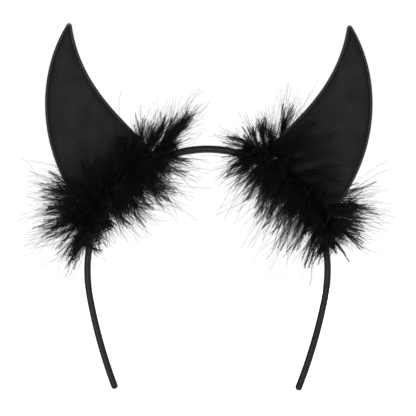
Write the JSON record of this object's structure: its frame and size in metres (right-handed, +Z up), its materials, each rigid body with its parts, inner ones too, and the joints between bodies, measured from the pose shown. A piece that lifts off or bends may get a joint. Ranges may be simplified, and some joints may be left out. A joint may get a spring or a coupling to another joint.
{
  "type": "horned costume headband",
  "caption": "Slim sprung headband carrying two flat sewn fabric horns, with loose feather trim round the foot of each horn.",
  "frame": {"origin": "middle of the crown's underside, where the band rests on top of the head", "axes": "+Z up out of the head, +X across the head, and the wearer faces -Y"},
  "size_m": [0.1866, 0.0388, 0.2081],
  "materials": {
    "band_core": "moulded, hidden in the sleeve",
    "satin": "black ribbed satin, slight sheen",
    "horn_twill": "black brushed twill, matte",
    "stiffener_felt": "stiff needled felt",
    "thread": "black spun polyester thread, slight sheen",
    "tab_felt": "black felt",
    "feather": "dyed black marabou plumes"
  },
  "bodies": {
    "crown": {"core_crown": "band_core", "sleeve_crown": "satin"},
    "left_shoulder": {"left_core_shoulder": "band_core", "left_sleeve_shoulder": "satin"},
    "left_leg": {"left_core_leg": "band_core", "left_sleeve_leg": "satin", "left_tip_cap": "satin"},
    "left_horn": {"left_back_plumes_1": "feather", "left_back_plumes_2": "feather", "left_back_plumes_3": "feather", "left_back_plumes_4": "feather", "left_feather_string": "thread", "left_front_plumes_1": "feather", "left_front_plumes_2": "feather", "left_front_plumes_3": "feather", "left_front_plumes_4": "feather", "left_horn_back_panel": "horn_twill", "left_horn_base_tab": "tab_felt", "left_horn_edge_stitching": "thread", "left_horn_front_panel": "horn_twill", "left_horn_stiffener": "stiffener_felt", "left_tack_stitch_1": "thread", "left_tack_stitch_2": "thread", "left_tack_stitch_3": "thread"},
    "right_shoulder": {"right_core_shoulder": "band_core", "right_sleeve_shoulder": "satin"},
    "right_leg": {"right_core_leg": "band_core", "right_sleeve_leg": "satin", "right_tip_cap": "satin"},
    "right_horn": {"right_back_plumes_1": "feather", "right_back_plumes_2": "feather", "right_back_plumes_3": "feather", "right_back_plumes_4": "feather", "right_feather_string": "thread", "right_front_plumes_1": "feather", "right_front_plumes_2": "feather", "right_front_plumes_3": "feather", "right_front_plumes_4": "feather", "right_horn_back_panel": "horn_twill", "right_horn_base_tab": "tab_felt", "right_horn_edge_stitching": "thread", "right_horn_front_panel": "horn_twill", "right_horn_stiffener": "stiffener_felt", "right_tack_stitch_1": "thread", "right_tack_stitch_2": "thread", "right_tack_stitch_3": "thread"}
  },
  "joints": [
    {"name": "left_band_flex", "type": "hinge", "parent": "crown", "child": "left_shoulder", "pos_m": [-0.02339, 0, -0.0019], "axis": [0, 1, 0], "range_deg": [-2, 6], "stiffness_Nm_per_rad": 0.5},
    {"name": "left_leg_flex", "type": "hinge", "parent": "left_shoulder", "child": "left_leg", "pos_m": [-0.06607, 0, -0.04847], "axis": [0, 1, 0], "range_deg": [-2, 6], "stiffness_Nm_per_rad": 0.5},
    {"name": "left_horn_tilt", "type": "hinge", "parent": "left_shoulder", "child": "left_horn", "pos_m": [-0.04833, 0, -0.0203], "axis": [0.6884, 0, 0.7254], "range_deg": [-8, 8], "stiffness_Nm_per_rad": 0.12},
    {"name": "right_band_flex", "type": "hinge", "parent": "crown", "child": "right_shoulder", "pos_m": [0.02339, 0, -0.0019], "axis": [0, -1, 0], "range_deg": [-2, 6], "stiffness_Nm_per_rad": 0.5},
    {"name": "right_leg_flex", "type": "hinge", "parent": "right_shoulder", "child": "right_leg", "pos_m": [0.06607, 0, -0.04847], "axis": [0, -1, 0], "range_deg": [-2, 6], "stiffness_Nm_per_rad": 0.5},
    {"name": "right_horn_tilt", "type": "hinge", "parent": "right_shoulder", "child": "right_horn", "pos_m": [0.04833, 0, -0.0203], "axis": [0.6884, 0, -0.7254], "range_deg": [-8, 8], "stiffness_Nm_per_rad": 0.12}
  ],
  "couplings": [
    {"joint": "left_leg_flex", "follows": "left_band_flex", "ratio": 1},
    {"joint": "right_leg_flex", "follows": "right_band_flex", "ratio": 1}
  ]
}
